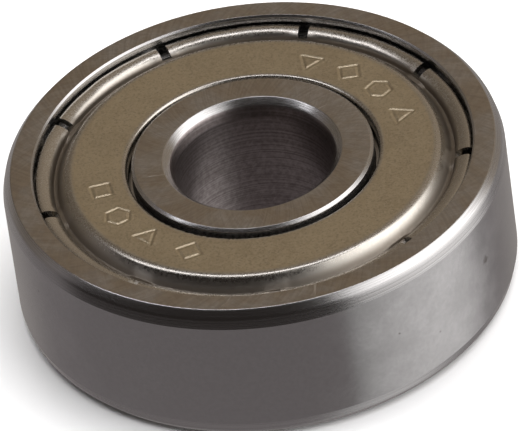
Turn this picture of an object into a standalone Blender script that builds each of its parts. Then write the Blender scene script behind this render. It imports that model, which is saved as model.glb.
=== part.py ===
"""Shielded deep groove ball bearing, 5 mm bore, 16 mm outside, 5 mm wide.

An outer ring with two crimped sheet steel shields, an inner ring, seven balls
and a two-piece riveted ribbon cage. The origin is the bearing's centre and the
shaft axis is +Z. Lengths are in metres.
"""

import math

import bmesh
import bpy
from mathutils import Matrix

MM = 0.001

# Boundary dimensions
BORE_RADIUS = 2.5 * MM
OUTER_RADIUS = 8.0 * MM
HALF_WIDTH = 2.5 * MM

# Balls and raceways
BALL_COUNT = 7
BALL_RADIUS = 1.389 * MM
PITCH_RADIUS = 5.25 * MM
RACE_CLEARANCE = 0.03 * MM  # more than the facets take up
GROOVE_RADIUS = 1.04 * BALL_RADIUS
INNER_SHOULDER_RADIUS = 4.2 * MM
OUTER_SHOULDER_RADIUS = 6.3 * MM

# Outer ring, above its shoulder
SHIELD_LEDGE_Z = 1.70 * MM
UNDERCUT_TOP_Z = 2.24 * MM
UNDERCUT_RADIUS = 7.12 * MM
LAND_RADIUS = 7.0 * MM
LAND_BEVEL = 0.05 * MM
OUTER_CORNER_RADIAL = 0.29 * MM
OUTER_CORNER_AXIAL = 0.58 * MM
OUTER_CORNER_BULGE = (0.32, 0.40)  # the middle of the corner, as shares of its two sides

# Inner ring, above its shoulder
INNER_STEP_Z = 1.82 * MM
INNER_LAND_RADIUS = 3.86 * MM
INNER_BEVEL_RADIAL = 0.15 * MM
INNER_BEVEL_AXIAL = 0.12 * MM
BORE_CORNER = 0.33 * MM

# Shields
SHEET = 0.22 * MM
PLATE_TOP_Z = 2.38 * MM
LIP_RADIUS = 4.02 * MM
LIP_BOTTOM_Z = 2.00 * MM
LIP_BEND = 0.24 * MM
STEP_CENTRE = (5.85 * MM, 1.93 * MM)
STEP_BEND = 0.45 * MM
BEAD_CENTRE = (6.86 * MM, 1.74 * MM)
BEAD_BEND = 0.46 * MM
BEAD_START_DEG = 156
BEAD_END_DEG = 62
FOOT_Z = 1.72 * MM
FOOT_INNER_RADIUS = 6.14 * MM
FOOT_OUTER_RADIUS = 6.52 * MM
NOTCH_COUNT = 9
NOTCH_FIRST_DEG = 30.8
NOTCH_WIDTH = 0.34 * MM
NOTCH_INNER_RADIUS = 6.47 * MM
NOTCH_OUTER_RADIUS = 7.3 * MM

# Cage and rivets
CAGE_SHEET = 0.20 * MM
CAGE_INNER_RADIUS = 4.6 * MM
CAGE_OUTER_RADIUS = 5.9 * MM
POCKET_RADIUS = BALL_RADIUS + 0.09 * MM
SPLIT_GAP = 0.01 * MM
RIVET_RADIUS = 0.25 * MM
RIVET_HOLE_RADIUS = 0.265 * MM
RIVET_HEAD_RADIUS = 0.42 * MM
RIVET_HEAD_HEIGHT = 0.17 * MM
RIVET_HEAD_GAP = 0.012 * MM

# Facets
RING_STEPS = 48
BALL_SEGMENTS = 20
POCKET_SEGMENTS = 16
RIVET_STEPS = 10


def clear_scene():
    for obj in list(bpy.data.objects):
        bpy.data.objects.remove(obj, do_unlink=True)


def new_collection(name):
    collection = bpy.data.collections.new(name)
    bpy.context.scene.collection.children.link(collection)
    return collection


def metal(name, color, roughness):
    material = bpy.data.materials.new(name)
    material.use_nodes = True
    shader = material.node_tree.nodes["Principled BSDF"]
    shader.inputs["Base Color"].default_value = (*color, 1.0)
    shader.inputs["Roughness"].default_value = roughness
    shader.inputs["Metallic"].default_value = 1.0
    return material


def add_object(name, mesh, collection, material=None):
    """An object for the mesh: a visible part with a material, or a hidden cutter without."""
    obj = bpy.data.objects.new(name, mesh)
    collection.objects.link(obj)
    if material is None:
        obj.hide_render = True
        obj.display_type = "WIRE"
    elif not mesh.materials:
        mesh.materials.append(material)
    return obj


def arc(centre, radius, start_deg, end_deg, segments):
    """Points of an arc in the (radius, z) half plane, both ends included."""
    points = []
    for i in range(segments + 1):
        angle = math.radians(start_deg + (end_deg - start_deg) * i / segments)
        points.append((centre[0] + radius * math.cos(angle), centre[1] + radius * math.sin(angle)))
    return points


def both_sides(upper_half):
    """A closed profile from its upper half, which starts on the mid plane at the raceway."""
    lower_half = [(radius, -z) for radius, z in reversed(upper_half[1:])]
    return upper_half + lower_half


def turned(name, profile, collection, material=None, steps=RING_STEPS, closed=True):
    """A body turned about Z from (radius, z) points that run down its outer side."""
    edges = [(i, i + 1) for i in range(len(profile) - 1)]
    if closed:
        edges.append((len(profile) - 1, 0))
    mesh = bpy.data.meshes.new(name)
    mesh.from_pydata([(radius, 0.0, z) for radius, z in profile], edges, [])
    obj = add_object(name, mesh, collection, material)
    screw = obj.modifiers.new("Turn", "SCREW")
    screw.steps = steps
    screw.render_steps = steps
    screw.use_merge_vertices = True
    screw.merge_threshold = 1e-6
    screw.use_smooth_shade = True
    return obj


def shade_flats(obj):
    """Lets the large flat faces set the normals, so that corners read crisp on the smooth shading."""
    obj.modifiers.new("Shading", "WEIGHTED_NORMAL").weight = 100


def around_pitch(count, offset_deg=0.0, radius=PITCH_RADIUS):
    """Placements spaced evenly round the axis, each turned to face outward."""
    placements = []
    for i in range(count):
        angle = math.radians(offset_deg + 360.0 * i / count)
        turn = Matrix.Rotation(angle, 4, "Z")
        placements.append((angle, turn @ Matrix.Translation((radius, 0.0, 0.0))))
    return placements


def cut(obj, cutter, operation):
    boolean = obj.modifiers.new(cutter.name, "BOOLEAN")
    boolean.operation = operation
    boolean.object = cutter
    boolean.solver = "EXACT"


def sphere_group(name, radius, collection):
    """One sphere round each ball's centre, as a hidden tool body."""
    shape = bmesh.new()
    for _, placement in around_pitch(BALL_COUNT):
        bmesh.ops.create_uvsphere(
            shape,
            u_segments=POCKET_SEGMENTS,
            v_segments=POCKET_SEGMENTS // 2,
            radius=radius,
            matrix=placement,
        )
    mesh = bpy.data.meshes.new(name)
    shape.to_mesh(mesh)
    shape.free()
    return add_object(name, mesh, collection)


def turned_over(name, source, collection):
    """A second piece of the same shape, fitted the other way up."""
    graph = bpy.context.evaluated_depsgraph_get()
    mesh = bpy.data.meshes.new_from_object(source.evaluated_get(graph))
    mesh.name = name
    obj = add_object(name, mesh, collection, source.data.materials[0])
    obj.rotation_euler.x = math.pi
    return obj


def groove(race_radius, shoulder_radius, segments=4):
    """Raceway arc from its deepest point on the mid plane up to the shoulder."""
    outward = 1 if race_radius > shoulder_radius else -1
    centre_radius = race_radius - outward * GROOVE_RADIUS
    shoulder_deg = math.degrees(math.acos(abs(shoulder_radius - centre_radius) / GROOVE_RADIUS))
    if outward > 0:
        return arc((centre_radius, 0.0), GROOVE_RADIUS, 0.0, shoulder_deg, segments)
    return arc((centre_radius, 0.0), GROOVE_RADIUS, 180.0, 180.0 - shoulder_deg, segments)


def make_outer_ring(collection, material):
    """Ring whose bore holds the raceway, a ledge under each shield and an undercut over its rim."""
    face_edge = OUTER_RADIUS - OUTER_CORNER_RADIAL
    inward, down = OUTER_CORNER_BULGE
    upper = groove(PITCH_RADIUS + BALL_RADIUS + RACE_CLEARANCE, OUTER_SHOULDER_RADIUS) + [
        (OUTER_SHOULDER_RADIUS, SHIELD_LEDGE_Z),
        (UNDERCUT_RADIUS, SHIELD_LEDGE_Z),
        (UNDERCUT_RADIUS, UNDERCUT_TOP_Z),
        (LAND_RADIUS, UNDERCUT_TOP_Z),
        (LAND_RADIUS, HALF_WIDTH - LAND_BEVEL),
        (LAND_RADIUS + LAND_BEVEL, HALF_WIDTH),
        (face_edge, HALF_WIDTH),
        (OUTER_RADIUS - inward * OUTER_CORNER_RADIAL, HALF_WIDTH - down * OUTER_CORNER_AXIAL),
        (OUTER_RADIUS, HALF_WIDTH - OUTER_CORNER_AXIAL),
    ]
    ring = turned("outer_ring", both_sides(upper), collection, material)
    shade_flats(ring)
    return ring


def make_inner_ring(collection, material):
    """Ring whose outside holds the raceway and, at each end, a step below the shield's lip."""
    race = groove(PITCH_RADIUS - BALL_RADIUS - RACE_CLEARANCE, INNER_SHOULDER_RADIUS)
    corner_centre = (BORE_RADIUS + BORE_CORNER, HALF_WIDTH - BORE_CORNER)
    upper = race + [
        (INNER_SHOULDER_RADIUS, INNER_STEP_Z),
        (INNER_LAND_RADIUS, INNER_STEP_Z),
        (INNER_LAND_RADIUS, HALF_WIDTH - INNER_BEVEL_AXIAL),
        (INNER_LAND_RADIUS - INNER_BEVEL_RADIAL, HALF_WIDTH),
    ]
    upper += arc(corner_centre, BORE_CORNER, 90.0, 180.0, 3)
    # On this ring the raceway is on the outer side, so the loop is turned to run down it.
    ring = turned("inner_ring", both_sides(upper)[::-1], collection, material)
    shade_flats(ring)
    return ring


def make_shields(collection, cutters, material):
    """Pressed plates: a turned-down lip, a flat plate, a stepped foot and a notched, beaded rim."""
    profile = [(LIP_RADIUS, LIP_BOTTOM_Z)]
    profile += arc((LIP_RADIUS + LIP_BEND, PLATE_TOP_Z - LIP_BEND), LIP_BEND, 180.0, 90.0, 2)
    profile += arc(STEP_CENTRE, STEP_BEND, 90.0, 0.0, 3)
    profile += arc(BEAD_CENTRE, BEAD_BEND, BEAD_START_DEG, BEAD_END_DEG, 3)
    profile += arc(BEAD_CENTRE, BEAD_BEND - SHEET, BEAD_END_DEG, BEAD_START_DEG, 2)
    profile += [(FOOT_OUTER_RADIUS, FOOT_Z), (FOOT_INNER_RADIUS, FOOT_Z)]
    profile += arc(STEP_CENTRE, STEP_BEND - SHEET, 0.0, 90.0, 1)
    profile += [
        (LIP_RADIUS + SHEET, PLATE_TOP_Z - SHEET),
        (LIP_RADIUS + SHEET, LIP_BOTTOM_Z),
    ]
    shield = turned("shield_upper", profile, collection, material)

    length = NOTCH_OUTER_RADIUS - NOTCH_INNER_RADIUS
    middle = (NOTCH_OUTER_RADIUS + NOTCH_INNER_RADIUS) / 2
    size = Matrix.Diagonal((length, NOTCH_WIDTH, 4 * SHEET, 1.0))
    shape = bmesh.new()
    for _, placement in around_pitch(NOTCH_COUNT, NOTCH_FIRST_DEG, middle):
        lifted = Matrix.Translation((0.0, 0.0, FOOT_Z + SHEET)) @ placement
        bmesh.ops.create_cube(shape, size=1.0, matrix=lifted @ size)
    mesh = bpy.data.meshes.new("notch_cutter")
    shape.to_mesh(mesh)
    shape.free()
    cut(shield, add_object("notch_cutter", mesh, cutters), "DIFFERENCE")
    shade_flats(shield)
    return shield, turned_over("shield_lower", shield, collection)


def make_balls(collection, material):
    """Seven separate balls that share one mesh."""
    bpy.ops.mesh.primitive_uv_sphere_add(
        segments=BALL_SEGMENTS, ring_count=BALL_SEGMENTS // 2, radius=BALL_RADIUS
    )
    pattern = bpy.context.object
    mesh = pattern.data
    bpy.data.objects.remove(pattern)
    mesh.name = "ball"
    mesh.shade_smooth()
    balls = []
    for i, (angle, placement) in enumerate(around_pitch(BALL_COUNT)):
        ball = add_object(f"ball_{i + 1}", mesh, collection, material)
        ball.location = placement.translation
        ball.rotation_euler.z = angle
        balls.append(ball)
    return balls


def make_cage(collection, cutters, material):
    """Two pressed ribbons: flats that meet at the rivets and a rounded pocket over each ball."""
    wide = 0.2 * MM
    flat = [
        (CAGE_OUTER_RADIUS + wide, SPLIT_GAP + CAGE_SHEET),
        (CAGE_OUTER_RADIUS + wide, -wide),
        (CAGE_INNER_RADIUS - wide, -wide),
        (CAGE_INNER_RADIUS - wide, SPLIT_GAP + CAGE_SHEET),
    ]
    trim = [
        (CAGE_OUTER_RADIUS, HALF_WIDTH),
        (CAGE_OUTER_RADIUS, SPLIT_GAP),
        (CAGE_INNER_RADIUS, SPLIT_GAP),
        (CAGE_INNER_RADIUS, HALF_WIDTH),
    ]
    shape = bmesh.new()
    for _, placement in around_pitch(BALL_COUNT, 180.0 / BALL_COUNT):
        bmesh.ops.create_cone(
            shape,
            cap_ends=True,
            segments=RIVET_STEPS,
            radius1=RIVET_HOLE_RADIUS,
            radius2=RIVET_HOLE_RADIUS,
            depth=4 * CAGE_SHEET,
            matrix=placement,
        )
    mesh = bpy.data.meshes.new("rivet_holes")
    shape.to_mesh(mesh)
    shape.free()

    half = turned("cage_half_upper", flat, collection, material)
    cut(half, add_object("rivet_holes", mesh, cutters), "DIFFERENCE")
    cut(half, sphere_group("pocket_outside", POCKET_RADIUS + CAGE_SHEET, cutters), "UNION")
    cut(half, turned("ribbon_width", trim, cutters), "INTERSECT")
    cut(half, sphere_group("pocket_inside", POCKET_RADIUS, cutters), "DIFFERENCE")
    shade_flats(half)
    return half, turned_over("cage_half_lower", half, collection)


def make_rivets(collection, material):
    """Seven rivets, headed on both sides of the cage's flats."""
    seat = SPLIT_GAP + CAGE_SHEET + RIVET_HEAD_GAP
    profile = [
        (0.0, seat + RIVET_HEAD_HEIGHT),
        (0.6 * RIVET_HEAD_RADIUS, seat + 0.85 * RIVET_HEAD_HEIGHT),
        (RIVET_HEAD_RADIUS, seat + 0.35 * RIVET_HEAD_HEIGHT),
        (RIVET_HEAD_RADIUS, seat),
        (RIVET_RADIUS, seat),
    ]
    profile += [(radius, -z) for radius, z in reversed(profile)]
    rivets = []
    for i, (angle, placement) in enumerate(around_pitch(BALL_COUNT, 180.0 / BALL_COUNT)):
        rivet = turned(f"rivet_{i + 1}", profile, collection, material, RIVET_STEPS, closed=False)
        rivet.location = placement.translation
        rivet.rotation_euler.z = angle
        rivets.append(rivet)
    return rivets


def group_under(name, pieces, collection):
    """An empty on the shaft axis that carries the pieces turning together."""
    carrier = bpy.data.objects.new(name, None)
    carrier.empty_display_size = HALF_WIDTH
    collection.objects.link(carrier)
    for piece in pieces:
        piece.parent = carrier


def main():
    clear_scene()
    parts = new_collection("ball_bearing")
    cutters = new_collection("cutters")

    ring_steel = metal("ring_steel", (0.42, 0.40, 0.37), 0.28)
    shield_steel = metal("shield_steel", (0.40, 0.36, 0.29), 0.40)
    ball_steel = metal("ball_steel", (0.62, 0.62, 0.63), 0.08)
    cage_steel = metal("cage_steel", (0.46, 0.45, 0.43), 0.35)

    outer_ring = make_outer_ring(parts, ring_steel)
    shields = make_shields(parts, cutters, shield_steel)
    inner_ring = make_inner_ring(parts, ring_steel)
    balls = make_balls(parts, ball_steel)
    cage_halves = make_cage(parts, cutters, cage_steel)
    rivets = make_rivets(parts, cage_steel)

    group_under("housing_side", [outer_ring, *shields], parts)
    group_under("shaft_side", [inner_ring], parts)
    group_under("cage_side", [*cage_halves, *rivets, *balls], parts)


main()
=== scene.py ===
"""Looks of the shielded ball bearing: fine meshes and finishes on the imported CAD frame."""

import math

import bmesh
import bpy
import numpy as np
from mathutils import Matrix, Vector


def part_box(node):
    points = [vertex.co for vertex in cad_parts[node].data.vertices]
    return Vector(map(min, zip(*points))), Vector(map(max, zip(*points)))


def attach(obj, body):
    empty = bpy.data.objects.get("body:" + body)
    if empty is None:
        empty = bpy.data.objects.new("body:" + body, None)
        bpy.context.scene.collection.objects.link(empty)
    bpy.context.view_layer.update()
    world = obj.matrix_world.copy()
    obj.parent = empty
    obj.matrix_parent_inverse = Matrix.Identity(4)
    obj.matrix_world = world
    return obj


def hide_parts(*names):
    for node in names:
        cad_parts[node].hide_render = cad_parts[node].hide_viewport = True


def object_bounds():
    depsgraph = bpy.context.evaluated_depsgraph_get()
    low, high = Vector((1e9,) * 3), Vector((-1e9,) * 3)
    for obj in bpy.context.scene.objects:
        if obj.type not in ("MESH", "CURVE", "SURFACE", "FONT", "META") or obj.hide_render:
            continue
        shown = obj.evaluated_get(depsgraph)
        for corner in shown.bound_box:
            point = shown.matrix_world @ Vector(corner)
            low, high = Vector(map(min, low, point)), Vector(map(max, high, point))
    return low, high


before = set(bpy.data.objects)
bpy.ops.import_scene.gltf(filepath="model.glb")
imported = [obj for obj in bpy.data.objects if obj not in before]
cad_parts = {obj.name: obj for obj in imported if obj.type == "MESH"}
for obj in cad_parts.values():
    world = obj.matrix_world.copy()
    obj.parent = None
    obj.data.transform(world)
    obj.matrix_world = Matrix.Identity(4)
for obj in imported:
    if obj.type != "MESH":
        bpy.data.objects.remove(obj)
cad_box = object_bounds()

MM = 0.001


def outer_radius(node):
    """Largest radius of a node that is centred on the shaft axis, in millimetres."""
    low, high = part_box(node)
    return (high[0] - low[0]) / 2 / MM


def top_of(node):
    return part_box(node)[1][2] / MM


def centre_of(node):
    low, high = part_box(node)
    return [(a + b) / 2 for a, b in zip(low, high)]


# Sizes in millimetres, with radii for round things. Those read from the frame come first.
OUTSIDE = outer_radius("outer_ring")
HALF_WIDTH = top_of("outer_ring")
INNER_SHOULDER = outer_radius("inner_ring")
PLATE_TOP = top_of("shield_upper")
BALL = outer_radius("ball_1")
PITCH = centre_of("ball_1")[0] / MM
RIVET_HEAD = outer_radius("rivet_1")
RIVET_TOP = top_of("rivet_1")
CAGE_OUTER = outer_radius("cage_half_upper")

# Rings. Corners, and the points in their middle, are given as (radial, axial) from the sharp corner.
BORE = 2.5
GROOVE = 1.04 * BALL
RACE_GAP = 0.012
OUTER_SHOULDER = 6.3
LEDGE_Z = 1.70
UNDERCUT_TOP = 2.24
UNDERCUT = 7.12
LAND = 7.0
LAND_CHAMFER = 0.06
OUTER_CORNER = (0.29, 0.58)
OUTER_CORNER_MIDDLE = (0.09, 0.23)
INNER_STEP_Z = 1.82
INNER_LAND = 3.86
INNER_CHAMFER = (0.10, 0.08)
BORE_CORNER = (0.36, 0.56)
BORE_CORNER_MIDDLE = (0.12, 0.20)

# How deep each finish of a ring reaches below its surface, and how far up the raceway's goes.
END_SLOPE = 0.96
END_DEPTH = 0.01
OUTSIDE_DEPTH = 0.006
HONED_DEPTH = 0.15
RACE_DEPTH = 0.1
RACE_TOP = 1.0

# Shields
SHEET = 0.20
LIP = 4.02
LIP_BOTTOM = 2.00
LIP_BEND = 0.14
SHOULDER = 5.78
SHOULDER_BEND = 0.30
SHOULDER_END_DEG = 46
CREASE = 6.335
CREASE_Z = 1.90
CREASE_BEND = 0.13
BEAD = 6.84
BEAD_REACH = 0.43
BEAD_RISE = 0.33
UNEVEN_FROM = 6.35
UNEVEN_OVER = 0.3
UNEVEN_WAVES = ((9, 0.008, 0.7), (23, 0.005, 0.0), (41, 0.003, 2.0))  # waves round the ring, size, phase
RIM_EDGE_Z = 2.10
RIM_EDGE_BEND = 0.13
NOTCH_COUNT = 9
NOTCH_FIRST_DEG = 30.8
NOTCH_HALF_DEG = 1.45
WEB = 6.36
WEB_HEIGHT = 0.07
WEB_WIDTH = 0.11
WEB_ENDS_DEG = (2.2, 5.2)  # full height and none, from the notch's middle

# Cage and rivets
BALL_COUNT = 7
CAGE_INNER = 4.6
CAGE_SHEET = 0.20
CAGE_SPLIT = 0.01
CAGE_BEND = 0.10
POCKET = BALL + 0.07
RIVET_SHANK = 0.25
RIVET_HOLE = RIVET_SHANK + 0.015
RIVET_GAP = 0.002
RIVET_EDGE = 0.02


# ---------------------------------------------------------------- outlines

def arc(centre, radius, start_deg, end_deg, segments):
    """Points of an arc in the (radius, z) half plane, both ends included."""
    angles = np.radians(np.linspace(start_deg, end_deg, segments + 1))
    return [(centre[0] + radius * math.cos(a), centre[1] + radius * math.sin(a)) for a in angles]


def rounded(corners, segments=6):
    """A closed outline from corners (radius, z, fillet), each fillet drawn as an arc."""
    points = []
    for i, (x, z, fillet) in enumerate(corners):
        if not fillet:
            points.append((x, z))
            continue
        corner = Vector((x, z))
        before = (Vector(corners[i - 1][:2]) - corner).normalized()
        after = (Vector(corners[(i + 1) % len(corners)][:2]) - corner).normalized()
        half = before.angle(after) / 2
        centre = corner + (before + after).normalized() * (fillet / math.sin(half))
        start = corner + before * (fillet / math.tan(half)) - centre
        end = corner + after * (fillet / math.tan(half)) - centre
        turn = math.atan2(start.x * end.y - start.y * end.x, start.dot(end))
        for step in range(segments + 1):
            spoke = Matrix.Rotation(turn * step / segments, 2) @ start
            points.append(tuple(centre + spoke))
    return points


def both_sides(upper_half):
    """A closed outline from its upper half, which starts on the mid plane."""
    return upper_half + [(x, -z, fillet) for x, z, fillet in reversed(upper_half[1:])]


def sharp(points):
    return [(x, z, 0.0) for x, z in points]


# ---------------------------------------------------------------- meshes

def finish_mesh(mesh, sharp_deg=40):
    mesh.validate()
    mesh.shade_smooth()
    mesh.set_sharp_from_angle(angle=math.radians(sharp_deg))


def add_piece(name, mesh, body, materials):
    """A visible piece that rides on a body and stands for the CAD node of its name."""
    obj = bpy.data.objects.new(f"{name}_look", mesh)
    bpy.context.scene.collection.objects.link(obj)
    for material in materials:
        if material.name not in mesh.materials:
            mesh.materials.append(material)
    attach(obj, body)
    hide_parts(name)


def revolve(name, outline, steps):
    """A closed body turned about Z from a closed outline that runs down its outer side."""
    outline = np.array(outline) * MM
    count = len(outline)
    angles = np.linspace(0, 2 * math.pi, steps, endpoint=False)
    points = np.empty((steps, count, 3))
    points[:, :, 0] = np.outer(np.cos(angles), outline[:, 0])
    points[:, :, 1] = np.outer(np.sin(angles), outline[:, 0])
    points[:, :, 2] = outline[:, 1]
    faces = []
    for i in range(steps):
        here, there = i * count, (i + 1) % steps * count
        for k in range(count):
            after = (k + 1) % count
            faces.append((here + k, here + after, there + after, there + k))
    mesh = bpy.data.meshes.new(name)
    mesh.from_pydata(points.reshape(-1, 3).tolist(), [], faces)
    finish_mesh(mesh)
    return mesh


def set_finishes(mesh, finish_of):
    """Gives each face the material number that finish_of(radius, z, slope) returns.

    The slope is the upward part of the face's normal: one on a flat end, zero on a cylinder.
    """
    for face in mesh.polygons:
        centre = face.center / MM
        face.material_index = finish_of(math.hypot(centre.x, centre.y), centre.z, face.normal.z)


def on_end(z, slope):
    """Whether a place on a ring is on its flat end."""
    return abs(slope) > END_SLOPE and abs(z) > HALF_WIDTH - END_DEPTH


def groove(race, shoulder, segments=18):
    """Raceway arc from its deepest point on the mid plane up to the shoulder."""
    outward = 1 if race > shoulder else -1
    centre = race - outward * GROOVE
    limit = math.degrees(math.acos(abs(shoulder - centre) / GROOVE))
    start, end = (0, limit) if outward > 0 else (180, 180 - limit)
    return arc((centre, 0.0), GROOVE, start, end, segments)


def make_outer_ring(materials):
    """Ring with the raceway, the ledge and undercut that hold the shield, and the land."""
    upper = sharp(groove(PITCH + BALL + RACE_GAP, OUTER_SHOULDER)) + [
        (OUTER_SHOULDER, LEDGE_Z, 0.04),
        (UNDERCUT, LEDGE_Z, 0.05),
        (UNDERCUT, UNDERCUT_TOP, 0.03),
        (LAND, UNDERCUT_TOP, 0.015),
        (LAND, HALF_WIDTH - LAND_CHAMFER, 0.03),
        (LAND + LAND_CHAMFER, HALF_WIDTH, 0.02),
        (OUTSIDE - OUTER_CORNER[0], HALF_WIDTH, 0.06),
        (OUTSIDE - OUTER_CORNER_MIDDLE[0], HALF_WIDTH - OUTER_CORNER_MIDDLE[1], 0.30),
        (OUTSIDE, HALF_WIDTH - OUTER_CORNER[1], 0.04),
    ]
    mesh = revolve("outer_ring_look", rounded(both_sides(upper)), 360)
    race, ground, turned, outside = 0, 1, 2, 3

    def finish(radius, z, slope):
        if on_end(z, slope):
            return ground
        if radius > OUTSIDE - OUTSIDE_DEPTH:
            return outside
        if radius < PITCH + BALL + RACE_DEPTH and abs(z) < RACE_TOP:
            return race
        return turned

    set_finishes(mesh, finish)
    add_piece("outer_ring", mesh, "housing_side", materials)


def make_inner_ring(materials):
    """Ring with the raceway on its outside and a step under the shield's lip."""
    upper = sharp(groove(PITCH - BALL - RACE_GAP, INNER_SHOULDER)) + [
        (INNER_SHOULDER, INNER_STEP_Z, 0.03),
        (INNER_LAND, INNER_STEP_Z, 0.03),
        (INNER_LAND, HALF_WIDTH - INNER_CHAMFER[1], 0.04),
        (INNER_LAND - INNER_CHAMFER[0], HALF_WIDTH, 0.04),
        (BORE + BORE_CORNER[0], HALF_WIDTH, 0.08),
        (BORE + BORE_CORNER_MIDDLE[0], HALF_WIDTH - BORE_CORNER_MIDDLE[1], 0.32),
        (BORE, HALF_WIDTH - BORE_CORNER[1], 0.32),
    ]
    mesh = revolve("inner_ring_look", rounded(both_sides(upper)[::-1]), 300)
    race, ground, turned, honed_painted_shade = 0, 1, 2, 3

    def finish(radius, z, slope):
        if on_end(z, slope):
            return ground
        if radius < BORE + HONED_DEPTH:
            return honed_painted_shade
        if radius > PITCH - BALL - RACE_DEPTH and abs(z) < RACE_TOP:
            return race
        return turned

    set_finishes(mesh, finish)
    add_piece("inner_ring", mesh, "shaft_side", materials)


# ---------------------------------------------------------------- shields

MARK_RADIUS = 4.93
MARK_SIZE = 0.41
MARK_LINE = 0.065
MARK_DEPTH = 0.024
MARK_PLATE = (4.4, 5.5)  # radii between which the plate is stamped
# Plain polygons stamped in two rows: (angle round the shaft, sides, turn), in degrees.
MARKS = (
    (12, 3, 0), (30, 6, 15), (46, 4, 0), (63, 3, 180),
    (188, 4, 45), (205, 6, 0), (222, 3, 180), (241, 4, 0),
)


def distance_to_outline(x, y, sides, turn_deg):
    """Distance from points to the outline of a regular polygon with corners at MARK_SIZE."""
    corner_angles = np.radians(turn_deg + 360.0 * np.arange(sides) / sides)
    corners = [MARK_SIZE * np.array([math.cos(a), math.sin(a)]) for a in corner_angles]
    nearest = np.full(x.shape, np.inf)
    for i, start in enumerate(corners):
        along = corners[(i + 1) % sides] - start
        share = ((x - start[0]) * along[0] + (y - start[1]) * along[1]) / along.dot(along)
        share = np.clip(share, 0, 1)
        gap = np.hypot(x - start[0] - share * along[0], y - start[1] - share * along[1])
        nearest = np.minimum(nearest, gap)
    return nearest


def stamped(radius, angle):
    """Height change that the stamped marks make in the plate, in millimetres."""
    height = np.zeros(radius.shape)
    for at_deg, sides, turn_deg in MARKS:
        offset = (angle - math.radians(at_deg) + math.pi) % (2 * math.pi) - math.pi
        x, y = radius * np.cos(offset) - MARK_RADIUS, radius * np.sin(offset)
        gap = distance_to_outline(x, y, sides, turn_deg)
        away = gap / MARK_LINE
        height -= MARK_DEPTH * np.clip(1 - away**2, 0, 1) ** 1.5
        height += 0.25 * MARK_DEPTH * np.exp(-(((away - 1.6) / 0.5) ** 2))
    return height


def shield_path():
    """Upper surface of the shield from the lip's lower edge out to the rim, and where the rim starts."""
    path = [(LIP, LIP_BOTTOM), (LIP, LIP_BOTTOM + 0.12)]
    path += arc((LIP + LIP_BEND, PLATE_TOP - LIP_BEND), LIP_BEND, 180, 90, 10)
    # The plate's rows are closer together where the marks are.
    path += [(x, PLATE_TOP) for x in np.linspace(4.22, 4.48, 5)]
    path += [(x, PLATE_TOP) for x in np.arange(4.50, 5.37, 0.02)]
    path += [(x, PLATE_TOP) for x in np.linspace(5.40, 5.70, 6)]
    path += arc((SHOULDER, PLATE_TOP - SHOULDER_BEND), SHOULDER_BEND, 90, SHOULDER_END_DEG, 12)
    path += arc((CREASE, CREASE_Z + CREASE_BEND), CREASE_BEND, 180 + SHOULDER_END_DEG, 270, 6)
    path += arc((CREASE + 0.035, CREASE_Z + 0.03), 0.03, 280, 350, 4)
    # The rim rises from that sharp bend as a quarter of an ellipse and rolls over at its edge.
    rim_start = len(path)
    for angle in np.radians(np.linspace(12, 90, 18)):
        path.append((BEAD - BEAD_REACH * math.cos(angle), CREASE_Z + BEAD_RISE * math.sin(angle)))
    path += arc((BEAD, RIM_EDGE_Z), RIM_EDGE_BEND, 82, -10, 10)
    return np.array(path), rim_start


def path_normals(path):
    """Unit vectors square to the path that point into the sheet."""
    along = np.gradient(path, axis=0)
    along /= np.linalg.norm(along, axis=1, keepdims=True)
    return np.stack([along[:, 1], -along[:, 0]], axis=1)


def from_nearest(angles_deg, marks_deg):
    """How far round the shaft each angle is from the nearest of the marks, in degrees."""
    gaps = [np.abs((angles_deg - mark + 180) % 360 - 180) for mark in marks_deg]
    return np.min(gaps, axis=0)


def shield_columns():
    """The mesh's columns: their angles, which gaps after them are notches, and how far a notch is.

    They are closer together across the marks and beside the notches. The angles are in radians
    and the distances in degrees.
    """
    notches = [NOTCH_FIRST_DEG + 360.0 * i / NOTCH_COUNT for i in range(NOTCH_COUNT)]
    fine = np.concatenate([np.arange(5.0, 71.0, 0.25), np.arange(181.0, 249.0, 0.25)])
    coarse = np.arange(0.0, 360.0, 1.0)
    steps = NOTCH_HALF_DEG + np.array([0.0, 0.25, 0.7, 1.2, 1.8, 2.5, 3.3, 4.2])
    edges = [(notch + side * step) % 360 for notch in notches for side in (-1, 1) for step in steps]
    angles = [a for a in np.concatenate([coarse, fine]) if min(abs(a - e) for e in edges) > 0.12]
    angles = np.array(sorted(set(np.round(angles, 4)) | set(np.round(edges, 4))))
    middles = (angles + np.append(angles[1:], angles[0] + 360)) / 2
    is_notch = from_nearest(middles, notches) < NOTCH_HALF_DEG
    return np.radians(angles), is_notch, from_nearest(angles, notches)


def sheet_mesh(name, top, bottom, last_rows):
    """A closed sheet round the shaft, from the points (column, row, xyz) of its two sides.

    last_rows holds, for the gap after each column, the row at which the sheet ends.
    """
    columns, rows = top.shape[:2]
    under = columns * rows
    points = np.concatenate([top.reshape(-1, 3), bottom.reshape(-1, 3)]) * MM
    faces = []
    for i, last in enumerate(last_rows):
        here, there = i * rows, (i + 1) % columns * rows
        for k in range(last):
            faces.append((here + k, here + k + 1, there + k + 1, there + k))
            beneath = (there + k, there + k + 1, here + k + 1, here + k)
            faces.append(tuple(under + corner for corner in beneath))
        faces.append((here, there, under + there, under + here))
        faces.append((there + last, here + last, under + here + last, under + there + last))
        for k in range(*sorted((last_rows[i - 1], last))):
            faces.append((here + k, here + k + 1, under + here + k + 1, under + here + k))
    mesh = bpy.data.meshes.new(name)
    mesh.from_pydata(points.tolist(), [], faces)
    shape = bmesh.new()
    shape.from_mesh(mesh)
    loose = [v for v in shape.verts if not v.link_faces]
    bmesh.ops.delete(shape, geom=loose, context="VERTS")
    bmesh.ops.recalc_face_normals(shape, faces=shape.faces)
    shape.to_mesh(mesh)
    shape.free()
    return mesh


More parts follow.
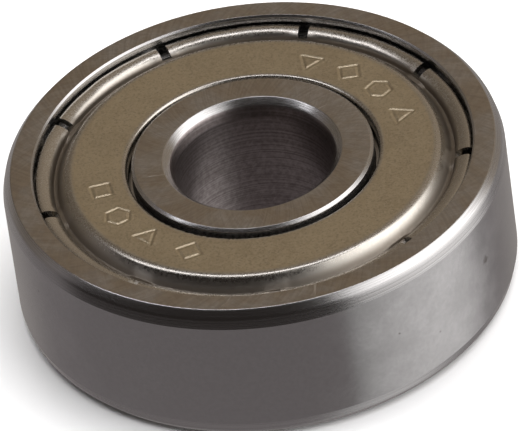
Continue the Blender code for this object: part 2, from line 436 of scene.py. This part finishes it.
def make_shield_mesh():
    """The pressed plate: lip, flat with stamped marks, shoulder, crease and the nine-part rim."""
    path, rim_start = shield_path()
    angles, is_notch, notch_gap = shield_columns()
    inward = path_normals(path)
    rows, columns = len(path), len(angles)

    radius = np.broadcast_to(path[:, 0], (columns, rows)).copy()
    height = np.broadcast_to(path[:, 1], (columns, rows)).copy()
    angle = np.broadcast_to(angles[:, None], (columns, rows))

    # Beside each notch the crease runs out in a small flat web.
    web_start, web_end = WEB_ENDS_DEG
    web = np.clip((web_end - notch_gap) / (web_end - web_start), 0, 1)
    web = (web * web * (3 - 2 * web))[:, None]
    in_crease = np.exp(-(((path[:, 0] - WEB) / WEB_WIDTH) ** 2))[None, :]
    height += WEB_HEIGHT * web * in_crease

    # The pressed rim isn't perfectly even round the ring.
    on_rim = np.clip((path[:, 0] - UNEVEN_FROM) / UNEVEN_OVER, 0, 1)[None, :]
    for waves, size, phase in UNEVEN_WAVES:
        height += size * np.sin(waves * angle + phase) * on_rim

    lower_radius = radius + inward[None, :, 0] * SHEET
    lower_height = height + inward[None, :, 1] * SHEET
    low, high = MARK_PLATE
    flat = (path[:, 0] > low) & (path[:, 0] < high)
    height[:, flat] += stamped(radius[:, flat], angle[:, flat])

    top = np.stack([radius * np.cos(angle), radius * np.sin(angle), height], axis=2)
    bottom = np.stack([lower_radius * np.cos(angle), lower_radius * np.sin(angle), lower_height], axis=2)
    mesh = sheet_mesh("shield_look", top, bottom, [rim_start if notch else rows - 1 for notch in is_notch])
    finish_mesh(mesh, 50)
    return mesh


def make_shields(material):
    mesh = make_shield_mesh()
    add_piece("shield_upper", mesh, "housing_side", [material])
    lower = mesh.copy()
    lower.transform(Matrix.Rotation(math.pi, 4, "X"))
    add_piece("shield_lower", lower, "housing_side", [material])


# ---------------------------------------------------------------- balls, cage and rivets

def make_balls(material):
    for i in range(1, BALL_COUNT + 1):
        shape = bmesh.new()
        bmesh.ops.create_cube(shape, size=2.0)
        bmesh.ops.subdivide_edges(shape, edges=shape.edges, cuts=23, use_grid_fill=True)
        for vertex in shape.verts:
            # Even out the spacing between the cube's middle and its corners before rounding it.
            vertex.co = Vector([math.tan(c * math.pi / 4) for c in vertex.co]).normalized() * BALL * MM
        bmesh.ops.translate(shape, verts=shape.verts, vec=centre_of(f"ball_{i}"))
        mesh = bpy.data.meshes.new(f"ball_{i}_look")
        shape.to_mesh(mesh)
        shape.free()
        finish_mesh(mesh, 180)
        add_piece(f"ball_{i}", mesh, f"rolling_ball_{i}", [material])


def pocket_angle(radius, height, sphere):
    """Angle from the ball's line at which a cylinder of this radius meets the sphere at a height."""
    squared = sphere * sphere - height * height
    cosine = (radius * radius + PITCH * PITCH - squared) / (2 * radius * PITCH)
    return np.arccos(np.clip(cosine, -1, 1))


def ribbon_edge(radius, sphere, base, fillet):
    """(angle, height) points from mid flat to the top of a pocket, along a cylinder of this radius."""
    half_pitch = math.pi / BALL_COUNT
    top = math.sqrt(sphere * sphere - (radius - PITCH) ** 2)
    start = base + fillet
    foot = pocket_angle(radius, start, sphere) + fillet / radius
    points = [(a, base) for a in np.linspace(half_pitch, foot, 8)[:-1]]
    for turn in np.linspace(0, math.pi / 2, 7):
        points.append((foot - fillet / radius * math.sin(turn), base + fillet * (1 - math.cos(turn))))
    for lift in np.linspace(math.asin(start / top), math.pi / 2, 22)[1:]:
        height = top * math.sin(lift)
        points.append((pocket_angle(radius, height, sphere), height))
    return points


def make_cage_mesh():
    """One pressed ribbon: flats at the rivets, a round pocket over each ball."""
    across = np.linspace(CAGE_INNER, CAGE_OUTER, 15)
    upper_sizes = (POCKET + CAGE_SHEET, CAGE_SPLIT + CAGE_SHEET, CAGE_BEND)
    lower_sizes = (POCKET, CAGE_SPLIT, CAGE_BEND + CAGE_SHEET)
    upper = np.array([ribbon_edge(radius, *upper_sizes) for radius in across])
    lower = np.array([ribbon_edge(radius, *lower_sizes) for radius in across])

    def whole(half):
        """All the pitches of one side: rising into each pocket and falling out of it."""
        columns = []
        for i in range(BALL_COUNT):
            middle = 2 * math.pi * i / BALL_COUNT
            rising = [(middle - half[:, k, 0], half[:, k, 1]) for k in range(half.shape[1])]
            falling = [(middle + half[:, k, 0], half[:, k, 1]) for k in range(half.shape[1] - 2, 0, -1)]
            columns += rising + falling
        points = [(across * np.cos(angle), across * np.sin(angle), height) for angle, height in columns]
        return np.array(points).transpose(0, 2, 1)

    top, bottom = whole(upper), whole(lower)
    columns, rows = top.shape[:2]
    return sheet_mesh("cage_half_look", top, bottom, [rows - 1] * columns)


def rivet_places():
    return [Vector(centre_of(f"rivet_{i}")) for i in range(1, BALL_COUNT + 1)]


def with_rivet_holes(mesh):
    """The same mesh with a round hole for each rivet."""
    tool_shape = bmesh.new()
    for place in rivet_places():
        bmesh.ops.create_cone(
            tool_shape, cap_ends=True, segments=48, radius1=RIVET_HOLE * MM,
            radius2=RIVET_HOLE * MM, depth=1.2 * MM, matrix=Matrix.Translation(place),
        )
    tool_mesh = bpy.data.meshes.new("rivet_holes")
    tool_shape.to_mesh(tool_mesh)
    tool_shape.free()
    tool = bpy.data.objects.new("rivet_holes", tool_mesh)
    body = bpy.data.objects.new("ribbon", mesh)
    for obj in (tool, body):
        bpy.context.scene.collection.objects.link(obj)
    boolean = body.modifiers.new("holes", "BOOLEAN")
    boolean.object = tool
    boolean.operation = "DIFFERENCE"
    graph = bpy.context.evaluated_depsgraph_get()
    holed = bpy.data.meshes.new_from_object(body.evaluated_get(graph))
    for obj in (tool, body):
        bpy.data.objects.remove(obj, do_unlink=True)
    finish_mesh(holed, 35)
    return holed


def make_cage(material):
    mesh = with_rivet_holes(make_cage_mesh())
    add_piece("cage_half_upper", mesh, "cage_side", [material])
    lower = mesh.copy()
    lower.transform(Matrix.Rotation(math.pi, 4, "X"))
    add_piece("cage_half_lower", lower, "cage_side", [material])


def make_rivets(material):
    seat = CAGE_SPLIT + CAGE_SHEET + RIVET_GAP
    edge = seat + RIVET_EDGE
    dome = [(RIVET_HEAD * x, edge + (RIVET_TOP - edge) * z) for x, z in arc((0, 0), 1.0, 90, 15, 10)]
    side = dome + [(RIVET_HEAD, edge), (RIVET_HEAD, seat), (RIVET_SHANK, seat)]
    side[0] = (0.0, RIVET_TOP)
    outline = side + [(x, -z) for x, z in reversed(side)]
    for i, place in enumerate(rivet_places()):
        shape = bmesh.new()
        loop = [shape.verts.new((x * MM, 0, z * MM)) for x, z in outline]
        for a, b in zip(loop, loop[1:]):
            shape.edges.new((a, b))
        bmesh.ops.spin(
            shape, geom=shape.verts[:] + shape.edges[:], axis=(0, 0, 1), cent=(0, 0, 0),
            angle=2 * math.pi, steps=40, use_merge=True,
        )
        bmesh.ops.remove_doubles(shape, verts=shape.verts, dist=1e-7)
        bmesh.ops.recalc_face_normals(shape, faces=shape.faces)
        bmesh.ops.translate(shape, verts=shape.verts, vec=place)
        mesh = bpy.data.meshes.new(f"rivet_{i + 1}_look")
        shape.to_mesh(mesh)
        shape.free()
        finish_mesh(mesh, 45)
        add_piece(f"rivet_{i + 1}", mesh, "cage_side", [material])


# ---------------------------------------------------------------- materials

class Nodes:
    """A short way to build a node tree."""

    def __init__(self, tree):
        self.tree = tree
        tree.nodes.clear()

    def add(self, kind, settings=None, **inputs):
        """A node, with its inputs given by name or, as i0, i1 and so on, by number."""
        node = self.tree.nodes.new(kind)
        for key, value in (settings or {}).items():
            setattr(node, key, value)
        for key, value in inputs.items():
            numbered = key[0] == "i" and key[1:].isdigit()
            socket = node.inputs[int(key[1:]) if numbered else key]
            if isinstance(value, bpy.types.NodeSocket):
                self.tree.links.new(value, socket)
            else:
                socket.default_value = value
        return node

    def math(self, operation, first, second=0.0):
        return self.add("ShaderNodeMath", {"operation": operation}, i0=first, i1=second).outputs[0]

    def vector(self, operation, first, second=(0, 0, 0)):
        node = self.add("ShaderNodeVectorMath", {"operation": operation}, i0=first, i1=second)
        is_number = operation in ("LENGTH", "DISTANCE")
        return node.outputs[1 if is_number else 0]

    def noise(self, vector, scale, detail=2.0, roughness=0.5):
        settings = {"Vector": vector, "Scale": scale, "Detail": detail, "Roughness": roughness}
        return self.add("ShaderNodeTexNoise", None, **settings).outputs[0]

    def ramp(self, value, low, high, to_low=0.0, to_high=1.0):
        """A smooth step from to_low to to_high as the value goes from low to high."""
        numbers = {"From Min": low, "From Max": high, "To Min": to_low, "To Max": to_high}
        settings = {"interpolation_type": "SMOOTHSTEP"}
        return self.add("ShaderNodeMapRange", settings, Value=value, **numbers).outputs[0]

    def band(self, value, low_side, high_side):
        """One between two soft sides, each given as (where it is zero, where it is one)."""
        return self.math("MULTIPLY", self.ramp(value, *low_side), self.ramp(value, *high_side))

    def mix(self, factor, first, second):
        """Colours, each linked or given as (red, green, blue), mixed by a factor."""
        colors = [c if isinstance(c, bpy.types.NodeSocket) else (*c, 1.0) for c in (first, second)]
        node = self.add("ShaderNodeMix", {"data_type": "RGBA"}, i0=factor, i6=colors[0], i7=colors[1])
        return node.outputs[2]


class Place:
    """Where a point of the surface is, in millimetres, and patterns that follow the shaft."""

    def __init__(self, nodes):
        self.nodes = nodes
        coordinates = nodes.add("ShaderNodeTexCoord").outputs["Object"]
        self.point = nodes.vector("MULTIPLY", coordinates, (1 / MM, 1 / MM, 1 / MM))
        self.height = nodes.add("ShaderNodeSeparateXYZ", None, i0=self.point).outputs[2]
        flat = nodes.vector("MULTIPLY", self.point, (1, 1, 0))
        self.radius = nodes.vector("LENGTH", flat)
        self.direction = nodes.vector("NORMALIZE", flat)

    def lines(self, along, slant, drift, density):
        """Noise drawn out into fine lines along the radius or the height.

        They slant by so many radians for each millimetre, and the drift makes them end.
        """
        settings = {"rotation_type": "Z_AXIS"}
        angle = self.nodes.math("MULTIPLY", along, slant)
        turned = self.nodes.add("ShaderNodeVectorRotate", settings, Vector=self.direction, Angle=angle)
        drift = self.nodes.math("MULTIPLY", along, drift)
        ahead = self.nodes.add("ShaderNodeCombineXYZ", None, i2=drift)
        place = self.nodes.vector("ADD", turned.outputs[0], ahead.outputs[0])
        return self.nodes.noise(place, density, 4.0, 0.65)

    def spokes(self, slant, density):
        """Fine lines that run outward."""
        return self.lines(self.radius, slant, 0.012, density)

    def hoops(self, density):
        """Fine lines that run round the shaft."""
        line = self.nodes.add("ShaderNodeCombineXYZ", None, i0=self.radius, i1=self.height)
        drift = self.nodes.vector("MULTIPLY", self.direction, (0.02, 0.02, 0.0))
        place = self.nodes.vector("ADD", line.outputs[0], drift)
        return self.nodes.noise(place, density, 4.0, 0.7)

    def spots(self, spots):
        """Small stains with ragged edges, from (angle in degrees, radius, height, size)."""
        nodes = self.nodes
        ragged = nodes.math("MULTIPLY", nodes.noise(self.point, 9.0, 3.0, 0.7), 1.5)
        together = 0.0
        for angle_deg, radius, height, size in spots:
            angle = math.radians(angle_deg)
            at = (radius * math.cos(angle), radius * math.sin(angle), height)
            gap = nodes.math("DIVIDE", nodes.vector("DISTANCE", self.point, at), size)
            together = nodes.math("MAXIMUM", together, nodes.ramp(nodes.math("ADD", gap, ragged), 1.7, 1.0))
        return together


def metal(name):
    """A new metal material: its nodes, its shader and the coordinates to pattern it with."""
    material = bpy.data.materials.new(name)
    material.use_nodes = True
    nodes = Nodes(material.node_tree)
    output = nodes.add("ShaderNodeOutputMaterial")
    shader = nodes.add("ShaderNodeBsdfPrincipled")
    shader.inputs["Metallic"].default_value = 1.0
    material.node_tree.links.new(shader.outputs[0], output.inputs[0])
    return material, nodes, shader, Place(nodes)


def connect(nodes, shader, color, roughness, height=None, depth=0.0):
    """Links a colour, a roughness and a bump of a height in millimetres to the shader."""
    link = nodes.tree.links.new
    link(color, shader.inputs["Base Color"])
    link(roughness, shader.inputs["Roughness"])
    if height is not None:
        bump = nodes.add("ShaderNodeBump", None, Height=height, Distance=depth * MM, Strength=1.0)
        link(bump.outputs[0], shader.inputs["Normal"])


def around(nodes, shader, amount):
    """Brushed round the shaft: the highlight spreads along the shaft."""
    tangent = nodes.add("ShaderNodeTangent", {"direction_type": "RADIAL", "axis": "Z"})
    nodes.tree.links.new(tangent.outputs[0], shader.inputs["Tangent"])
    shader.inputs["Anisotropic"].default_value = amount
    shader.inputs["Anisotropic Rotation"].default_value = 0.25


def ground_steel():
    """Face grinding: crossing slanted lines, a few bright scratches and faint brown stains."""
    material, nodes, shader, place = metal("ground_steel")
    crossing = nodes.math("MULTIPLY", place.spokes(-0.16, 47), 0.6)
    lines = nodes.math("ADD", place.spokes(0.10, 60), crossing)
    mottle = nodes.noise(place.point, 5.0, 4.0, 0.7)
    scratches = nodes.ramp(place.spokes(0.05, 22), 0.66, 0.72)
    stains = nodes.ramp(nodes.noise(place.point, 0.7, 5.0, 0.6), 0.38, 0.62)
    color = nodes.mix(stains, (0.53, 0.51, 0.49), (0.46, 0.405, 0.34))
    color = nodes.mix(nodes.ramp(lines, 0.66, 0.92), nodes.mix(0.30, color, (0.20, 0.17, 0.14)), color)
    color = nodes.mix(nodes.ramp(mottle, 0.40, 0.62, 0.0, 0.40), color, (0.36, 0.30, 0.24))
    color = nodes.mix(nodes.math("MULTIPLY", scratches, 0.6), color, (0.80, 0.79, 0.77))
    roughness = nodes.ramp(lines, 0.55, 0.85, 0.42, 0.32)
    height = nodes.math("ADD", lines, nodes.math("MULTIPLY", scratches, -0.5))
    connect(nodes, shader, color, roughness, height, 0.006)
    return material


# Pits in the outside: (angle round the shaft in degrees, radius, height, size).
PITS = (
    (298, OUTSIDE, 0.15, 0.06),
    (328, OUTSIDE, 0.30, 0.22),
    (309, OUTSIDE, -0.70, 0.05),
    (205, OUTSIDE, 0.90, 0.05),
)


def outside_steel():
    """Centreless-ground outside: satin, fine lines round the shaft, soft blotches and a few pits."""
    material, nodes, shader, place = metal("outside_steel")
    hoops = place.hoops(40)
    blotches = nodes.noise(place.point, 0.8, 4.0, 0.6)
    grain = nodes.noise(place.point, 7.0, 3.0, 0.7)
    pits = place.spots(PITS)
    color = nodes.mix(nodes.ramp(blotches, 0.3, 0.7), (0.50, 0.49, 0.485), (0.56, 0.55, 0.545))
    color = nodes.mix(nodes.ramp(grain, 0.35, 0.65, 0.0, 0.16), color, (0.36, 0.35, 0.345))
    color = nodes.mix(nodes.math("MULTIPLY", pits, 0.6), color, (0.15, 0.12, 0.10))
    roughness = nodes.ramp(blotches, 0.3, 0.7, 0.21, 0.26)
    height = nodes.math("SUBTRACT", hoops, nodes.math("MULTIPLY", pits, 3.0))
    connect(nodes, shader, color, roughness, height, 0.0006)
    around(nodes, shader, 0.9)
    return material


def turned_steel():
    """Turned corners: coarser lines round the shaft that catch the light one by one."""
    material, nodes, shader, place = metal("turned_steel")
    hoops = place.hoops(20)
    color = nodes.mix(nodes.ramp(hoops, 0.3, 0.7), (0.40, 0.39, 0.38), (0.60, 0.59, 0.585))
    roughness = nodes.ramp(hoops, 0.3, 0.7, 0.30, 0.20)
    connect(nodes, shader, color, roughness, hoops, 0.004)
    around(nodes, shader, 0.5)
    return material


def honed_steel_painted_shade():
    """Bore: painted dark as shade, with fine lines mostly round the shaft and a faint crossing set."""
    material, nodes, shader, place = metal("honed_steel_painted_shade")
    crossing = nodes.math("MULTIPLY", place.lines(place.height, 0.30, 0.03, 45), 0.2)
    mottle = nodes.math("MULTIPLY", nodes.noise(place.point, 7.0, 4.0, 0.7), 0.6)
    lines = nodes.math("ADD", nodes.math("ADD", place.hoops(14), crossing), mottle)
    # Painted shade: the base colours are dark to stand for the shade that falls inside the bore.
    color = nodes.mix(nodes.ramp(lines, 0.70, 1.10), (0.18, 0.150, 0.143), (0.33, 0.292, 0.284))
    roughness = nodes.ramp(lines, 0.70, 1.10, 0.42, 0.32)
    connect(nodes, shader, color, roughness, lines, 0.0040)
    around(nodes, shader, 0.5)
    return material


def race_steel():
    """Superfinished raceway: near mirror, with faint lines round the shaft."""
    material, nodes, shader, place = metal("race_steel")
    hoops = place.hoops(60)
    color = nodes.mix(nodes.ramp(hoops, 0.3, 0.7), (0.58, 0.57, 0.56), (0.64, 0.63, 0.62))
    connect(nodes, shader, color, nodes.ramp(hoops, 0.3, 0.7, 0.10, 0.16), hoops, 0.0003)
    return material


def shield_steel():
    """Pressed sheet: matte olive bronze with a fine mottled grain, rubbed to grey steel on the bends, with
    painted shade in the crease.
    """
    material, nodes, shader, place = metal("shield_steel")
    grain = nodes.noise(place.point, 9.0, 5.0, 0.7)
    speckle = nodes.noise(place.point, 14.0, 2.0, 0.5)
    cloud = nodes.noise(place.point, 0.7, 3.0, 0.5)
    color = nodes.mix(nodes.ramp(cloud, 0.3, 0.7), (0.585, 0.498, 0.350), (0.520, 0.440, 0.310))
    color = nodes.mix(nodes.ramp(grain, 0.38, 0.62, 0.0, 0.55), color, (0.68, 0.59, 0.43))
    color = nodes.mix(nodes.ramp(speckle, 0.50, 0.70, 0.0, 0.40), color, (0.30, 0.25, 0.19))

    # The lip and everything outside the plate are rubbed. The crease is darkened with painted shade, and
    # made rougher.
    on_lip = nodes.ramp(place.radius, 4.24, 4.10)
    past_plate = nodes.ramp(place.radius, 5.68, 5.86)
    rubbed = nodes.math("MULTIPLY", nodes.math("MAXIMUM", on_lip, past_plate), 0.8)
    crease_painted_shade = nodes.band(place.radius, (6.00, 6.22), (6.56, 6.42))
    color = nodes.mix(rubbed, color, (0.53, 0.51, 0.48))
    # Painted shade darkens the crease's colour.
    color = nodes.mix(nodes.math("MULTIPLY", crease_painted_shade, 0.75), color, (0.15, 0.12, 0.09))
    roughness = nodes.ramp(grain, 0.3, 0.7, 0.36, 0.46)
    roughness = nodes.math("SUBTRACT", roughness, nodes.math("MULTIPLY", rubbed, 0.18))
    roughness = nodes.math("ADD", roughness, nodes.math("MULTIPLY", crease_painted_shade, 0.20))
    height = nodes.math("ADD", grain, nodes.math("MULTIPLY", speckle, 0.5))
    height = nodes.math("MULTIPLY", height, nodes.band(place.radius, (4.24, 4.36), (5.64, 5.40)))
    connect(nodes, shader, color, roughness, height, 0.0035)
    return material


def ball_steel():
    """Lapped balls: mirror finish with a very faint haze."""
    material, nodes, shader, place = metal("ball_steel")
    haze = nodes.noise(place.point, 3.0, 4.0, 0.6)
    color = nodes.mix(haze, (0.66, 0.66, 0.67), (0.72, 0.72, 0.72))
    connect(nodes, shader, color, nodes.ramp(haze, 0.3, 0.7, 0.04, 0.08))
    return material


def cage_steel():
    """Pressed strip: satin, with a soft rolled grain."""
    material, nodes, shader, place = metal("cage_steel")
    grain = nodes.noise(place.point, 12.0, 4.0, 0.6)
    color = nodes.mix(nodes.ramp(grain, 0.3, 0.7), (0.42, 0.41, 0.39), (0.55, 0.54, 0.51))
    connect(nodes, shader, color, nodes.ramp(grain, 0.3, 0.7, 0.28, 0.40), grain, 0.003)
    return material


# ---------------------------------------------------------------- stage

CAMERA_ELEVATION_DEG = 38.765
CAMERA_ROLL_DEG = -8.139
CAMERA_DISTANCE = 0.300
CAMERA_LENS_MM = 653.954
# How far the line of sight passes from the bearing's middle.
AIM_RIGHT = -0.0276 * MM
AIM_UP = -0.0520 * MM
FLOOR_HALF = 1.5


def add_camera():
    """A long lens from the front, turned a little about its own line of sight."""
    elevation, roll = math.radians(CAMERA_ELEVATION_DEG), math.radians(CAMERA_ROLL_DEG)
    back = Vector((0, -math.cos(elevation), math.sin(elevation)))
    right = Vector((1, 0, 0))
    up = back.cross(right)
    tilted_right = math.cos(roll) * right + math.sin(roll) * up
    tilted_up = -math.sin(roll) * right + math.cos(roll) * up
    low, high = cad_box
    middle = Vector([(a + b) / 2 for a, b in zip(low, high)])
    place = middle + AIM_RIGHT * tilted_right + AIM_UP * tilted_up + CAMERA_DISTANCE * back
    camera = bpy.data.objects.new("camera", bpy.data.cameras.new("camera"))
    camera.data.lens = CAMERA_LENS_MM
    camera.data.clip_start = 0.01
    turn = Matrix((tilted_right, tilted_up, back)).transposed().to_4x4()
    camera.matrix_world = Matrix.Translation(place) @ turn
    bpy.context.scene.collection.objects.link(camera)
    bpy.context.scene.camera = camera


def add_floor():
    """A pale floor that the bearing rests on, out of the metal's reflections."""
    mesh = bpy.data.meshes.new("floor")
    shape = bmesh.new()
    bmesh.ops.create_grid(shape, x_segments=2, y_segments=2, size=FLOOR_HALF)
    bmesh.ops.translate(shape, verts=shape.verts, vec=(0, 0, cad_box[0][2]))
    shape.to_mesh(mesh)
    shape.free()
    material = bpy.data.materials.new("floor_paper")
    material.use_nodes = True
    shader = material.node_tree.nodes["Principled BSDF"]
    shader.inputs["Base Color"].default_value = (0.86, 0.86, 0.86, 1)
    shader.inputs["Roughness"].default_value = 0.9
    shader.inputs["Specular IOR Level"].default_value = 0.1
    mesh.materials.append(material)
    floor = bpy.data.objects.new("floor", mesh)
    bpy.context.scene.collection.objects.link(floor)
    floor.visible_glossy = False
    floor.visible_shadow = False


FILL_AZIMUTH_DEG = 60
FILL_ELEVATION_DEG = 80
FILL_DISTANCE = 0.60
FILL_SIZE = 0.60
FILL_WATTS = 5.0


def add_overhead_fill():
    """A soft box almost overhead that faces the bearing and isn't seen in the metal."""
    light = bpy.data.lights.new("overhead_fill", "AREA")
    light.shape = "RECTANGLE"
    light.size = FILL_SIZE
    light.size_y = FILL_SIZE
    light.energy = FILL_WATTS
    azimuth, elevation = math.radians(FILL_AZIMUTH_DEG), math.radians(FILL_ELEVATION_DEG)
    level = math.cos(elevation)
    out = Vector((math.cos(azimuth) * level, math.sin(azimuth) * level, math.sin(elevation)))
    obj = bpy.data.objects.new("overhead_fill", light)
    obj.location = out * FILL_DISTANCE
    obj.rotation_euler = out.to_track_quat("Z", "Y").to_euler()
    obj.visible_camera = False
    obj.visible_glossy = False
    bpy.context.scene.collection.objects.link(obj)


# Colours of the studio round the bearing.
TABLE = (0.240, 0.220, 0.224)
TABLE_BEHIND = (0.36, 0.335, 0.325)
DARK_FRONT = (0.022, 0.018, 0.016)
BACKDROP_LEFT = (0.160, 0.133, 0.105)
BACKDROP_RIGHT = (0.345, 0.287, 0.226)
CEILING = (0.11, 0.10, 0.09)
CEILING_STRIP = (3.9, 3.9, 4.1)
PANEL = (1.0, 0.985, 0.985)


def add_world():
    """The studio that the metal reflects.

    Low down it is a grey table, paler behind. Higher up it is near black in front and has a
    brown backdrop behind, lighter to the right. A bright strip crosses the dark ceiling and a
    tall bright panel stands on the right.
    """
    world = bpy.data.worlds.new("studio")
    bpy.context.scene.world = world
    world.use_nodes = True
    nodes = Nodes(world.node_tree)
    toward = nodes.add("ShaderNodeTexCoord").outputs["Generated"]
    x, y, z = nodes.add("ShaderNodeSeparateXYZ", None, i0=toward).outputs
    azimuth = nodes.math("MULTIPLY", nodes.math("ARCTAN2", y, x), 180 / math.pi)
    elevation = nodes.math("MULTIPLY", nodes.math("ARCSINE", z), 180 / math.pi)

    tone = nodes.mix(nodes.ramp(y, 0.35, 0.78), TABLE, TABLE_BEHIND)
    front = nodes.math("MULTIPLY", nodes.ramp(y, 0.22, -0.10), nodes.ramp(elevation, -34, -14))
    tone = nodes.mix(front, tone, DARK_FRONT)
    behind = nodes.math("MULTIPLY", nodes.ramp(y, 0.05, 0.55), nodes.ramp(elevation, -12, 12))
    backdrop = nodes.mix(nodes.ramp(azimuth, 128, 58), BACKDROP_LEFT, BACKDROP_RIGHT)
    tone = nodes.mix(behind, tone, backdrop)
    tone = nodes.mix(nodes.ramp(elevation, 58, 80), tone, CEILING)

    strip_width = nodes.band(y, (-0.03, 0.03), (0.17, 0.11))
    strip_length = nodes.band(x, (-0.80, -0.65), (0.55, 0.40))
    strip = nodes.math("MULTIPLY", strip_width, strip_length)
    strip = nodes.math("MULTIPLY", strip, nodes.ramp(elevation, 30, 40))
    tone = nodes.mix(strip, tone, CEILING_STRIP)

    panel = nodes.band(azimuth, (-58, -56), (28, 4))
    panel = nodes.math("MULTIPLY", panel, nodes.ramp(elevation, 66, 58))
    across = nodes.ramp(azimuth, -60, -12, 0.50, 1.02)
    upward = nodes.ramp(elevation, -35, 25, 0.76, 2.5)
    strength = nodes.math("MULTIPLY", across, upward)
    bright = nodes.add("ShaderNodeVectorMath", {"operation": "SCALE"}, i0=PANEL, Scale=strength)
    tone = nodes.mix(panel, tone, bright.outputs[0])

    background = nodes.add("ShaderNodeBackground", None, Color=tone, Strength=1.0)
    nodes.add("ShaderNodeOutputWorld", None, i0=background.outputs[0])


def light_studio():
    add_world()
    add_overhead_fill()
    bpy.context.scene.view_settings.view_transform = "Standard"


# ---------------------------------------------------------------- all of it

add_camera()
add_floor()
light_studio()

ground, outside, turned = ground_steel(), outside_steel(), turned_steel()
race, honed_painted_shade, ribbon = race_steel(), honed_steel_painted_shade(), cage_steel()
make_outer_ring([race, ground, turned, outside])
make_inner_ring([race, ground, turned, honed_painted_shade])
make_shields(shield_steel())
make_balls(ball_steel())
make_cage(ribbon)
make_rivets(ribbon)
